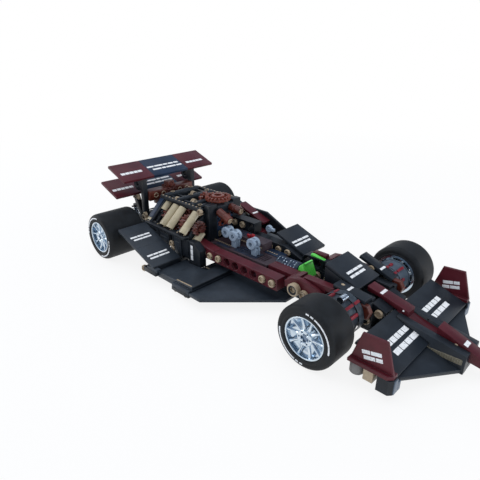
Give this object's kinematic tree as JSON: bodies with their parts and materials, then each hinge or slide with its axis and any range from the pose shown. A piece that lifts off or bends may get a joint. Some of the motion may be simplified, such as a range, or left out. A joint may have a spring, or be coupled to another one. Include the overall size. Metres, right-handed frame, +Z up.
{
  "type": "toy open wheel racing car",
  "caption": "Toy open wheel racing car built from plastic beams and panels, with slick tyres, spoked rims, tilted wings and an open cockpit.",
  "frame": {"origin": "on the floor, under the middle of the overall length and width", "axes": "+X towards the nose, +Y to the left of the car, +Z up"},
  "size_m": [0.285, 0.132, 0.067],
  "materials": {
    "black_plastic": "satin moulded plastic, near black",
    "dark_grey_plastic": "satin moulded plastic, dark grey",
    "dark_red_plastic": "satin moulded plastic, dark red",
    "navy_plastic": "satin moulded plastic, navy",
    "tan_plastic": "moulded plastic, tan",
    "gold_plastic": "moulded plastic, pale gold",
    "brown_plastic": "moulded plastic, reddish brown",
    "taupe_plastic": "moulded plastic, dark taupe",
    "drum_plastic": "moulded plastic, blue grey",
    "green_plastic": "moulded plastic, bright green",
    "light_grey_plastic": "moulded plastic, light bluish grey",
    "bright_rim": "bright plated plastic",
    "tyre_rubber": "soft black rubber"
  },
  "bodies": {
    "chassis": {"bank_bars": "gold_plastic", "bank_frames": "black_plastic", "bank_rails": "black_plastic", "control_block": "navy_plastic", "cross_beams": "black_plastic", "drive_unit": "taupe_plastic", "edge_beams": "black_plastic", "endplate_blocks": "tan_plastic", "endplate_rollers": "taupe_plastic", "endplate_weights": "drum_plastic", "engine_block": "black_plastic", "engine_gears": "brown_plastic", "floor_plates": "dark_grey_plastic", "floor_tub": "black_plastic", "front_endplates": "dark_red_plastic", "front_wing_channels": "dark_grey_plastic", "front_wing_planes": "dark_grey_plastic", "left_wall_beams": "black_plastic", "levers": "light_grey_plastic", "lower_rails": "black_plastic", "nose_spine": "dark_red_plastic", "nose_walls": "black_plastic", "rear_gearbox": "black_plastic", "rear_hub_carriers": "black_plastic", "rear_wing_centers": "navy_plastic", "rear_wing_tips": "dark_red_plastic", "roof_beams": "dark_grey_plastic", "roof_gears": "brown_plastic", "seat_block": "green_plastic", "side_beams_red": "dark_red_plastic", "side_panels": "dark_grey_plastic", "side_walls": "black_plastic", "side_wedges_red": "dark_red_plastic", "top_decks": "dark_grey_plastic", "wing_cross_beam": "brown_plastic", "wing_drive": "black_plastic", "wing_uprights": "black_plastic", "wishbones": "black_plastic"},
    "knuckle_left": {"drum_bars_left": "dark_red_plastic", "drum_left": "drum_plastic", "knuckle_left": "brown_plastic"},
    "wheel_front_left": {"wheel_front_left_axle": "light_grey_plastic", "wheel_front_left_rim": "bright_rim", "wheel_front_left_tyre": "tyre_rubber"},
    "wheel_rear_left": {"wheel_rear_left_axle": "light_grey_plastic", "wheel_rear_left_rim": "bright_rim", "wheel_rear_left_tyre": "tyre_rubber"},
    "knuckle_right": {"drum_bars_right": "dark_red_plastic", "drum_right": "drum_plastic", "knuckle_right": "brown_plastic"},
    "wheel_front_right": {"wheel_front_right_axle": "light_grey_plastic", "wheel_front_right_rim": "bright_rim", "wheel_front_right_tyre": "tyre_rubber"},
    "wheel_rear_right": {"wheel_rear_right_axle": "light_grey_plastic", "wheel_rear_right_rim": "bright_rim", "wheel_rear_right_tyre": "tyre_rubber"}
  },
  "joints": [
    {"name": "steer_left", "type": "hinge", "parent": "chassis", "child": "knuckle_left", "pos_m": [0.0741, 0.0361, 0.01775], "axis": [0, 0, 1], "range_deg": [-9, 9]},
    {"name": "steer_right", "type": "hinge", "parent": "chassis", "child": "knuckle_right", "pos_m": [0.0741, -0.0361, 0.01775], "axis": [0, 0, 1], "range_deg": [-9, 9]},
    {"name": "roll_front_left", "type": "hinge", "parent": "knuckle_left", "child": "wheel_front_left", "pos_m": [0.0741, 0.0481, 0.01775], "axis": [0, 1, 0], "continuous": true},
    {"name": "roll_rear_left", "type": "hinge", "parent": "chassis", "child": "wheel_rear_left", "pos_m": [-0.1139, 0.0475, 0.01775], "axis": [0, 1, 0], "continuous": true},
    {"name": "roll_front_right", "type": "hinge", "parent": "knuckle_right", "child": "wheel_front_right", "pos_m": [0.0741, -0.0481, 0.01775], "axis": [0, 1, 0], "continuous": true},
    {"name": "roll_rear_right", "type": "hinge", "parent": "chassis", "child": "wheel_rear_right", "pos_m": [-0.1139, -0.0475, 0.01775], "axis": [0, 1, 0], "continuous": true}
  ],
  "couplings": [
    {"joint": "steer_right", "follows": "steer_left", "ratio": 1}
  ]
}
